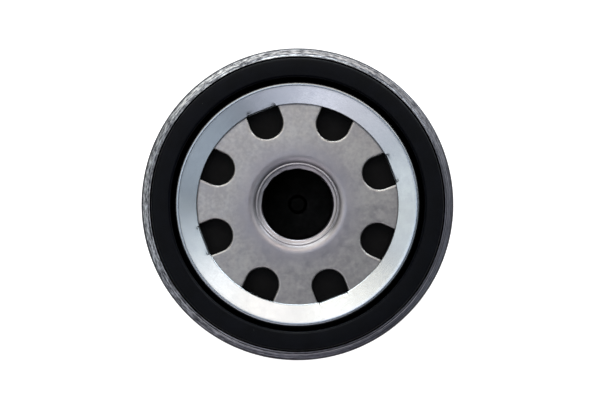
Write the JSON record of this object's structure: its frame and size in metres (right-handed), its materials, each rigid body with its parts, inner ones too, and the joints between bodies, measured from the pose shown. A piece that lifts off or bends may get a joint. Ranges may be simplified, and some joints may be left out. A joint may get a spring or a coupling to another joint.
{
  "type": "spin-on oil filter",
  "caption": "Spin-on engine oil filter with a double-seamed steel can, a threaded tapping plate with open oil inlets, a face gasket and a pleated element on a sprung bypass valve.",
  "frame": {"origin": "centre of the foot of the closed end", "axes": "+Z along the axis towards the threaded end, +Y up and +X right when the threaded end is looked at"},
  "size_m": [0.076, 0.076, 0.093],
  "materials": {
    "can_enamel": "satin black stoved enamel",
    "zinc_lid": "bright zinc plate with a faint blue passivation",
    "plate_steel": "oiled hot-rolled sheet, satin",
    "gasket_rubber": "matte moulded nitrile",
    "valve_rubber": "dark grey moulded nitrile",
    "seam_compound": "dried latex compound",
    "tinplate": "bright tinned sheet",
    "filter_paper": "resin-cured cellulose",
    "plastisol": "cured potting compound",
    "spring_wire": "drawn spring wire"
  },
  "bodies": {
    "housing": {"can": "can_enamel", "seaming_lid": "zinc_lid", "seam_compound": "seam_compound", "base_plate": "plate_steel", "gasket": "gasket_rubber", "support_spring": "spring_wire"},
    "element": {"element_top_cap": "tinplate", "element_bottom_cap": "tinplate", "pleated_media": "filter_paper", "media_clip": "tinplate", "centre_tube": "tinplate", "top_potting": "plastisol", "bottom_potting": "plastisol", "bypass_seat": "tinplate", "bypass_cage": "tinplate", "bypass_spring": "spring_wire", "spring_cup": "tinplate"},
    "poppet": {"bypass_poppet": "plate_steel", "bypass_seal": "gasket_rubber"},
    "valve_lip": {"drain_valve": "valve_rubber"}
  },
  "joints": [
    {"name": "element_float", "type": "slide", "parent": "housing", "child": "element", "axis": [0, 0, -1], "range_m": [0, 0.002], "stiffness_N_per_m": 6000, "springref_m": -0.01, "deforming": ["support_spring"]},
    {"name": "bypass_lift", "type": "slide", "parent": "element", "child": "poppet", "axis": [0, 0, 1], "range_m": [0, 0.0035], "stiffness_N_per_m": 2000, "springref_m": -0.0077, "deforming": ["bypass_spring"]},
    {"name": "drain_valve_lift", "type": "slide", "parent": "housing", "child": "valve_lip", "axis": [0, 0, -1], "range_m": [0, 0.0015], "stiffness_N_per_m": 300, "springref_m": -0.003, "deforming": ["drain_valve"]}
  ]
}
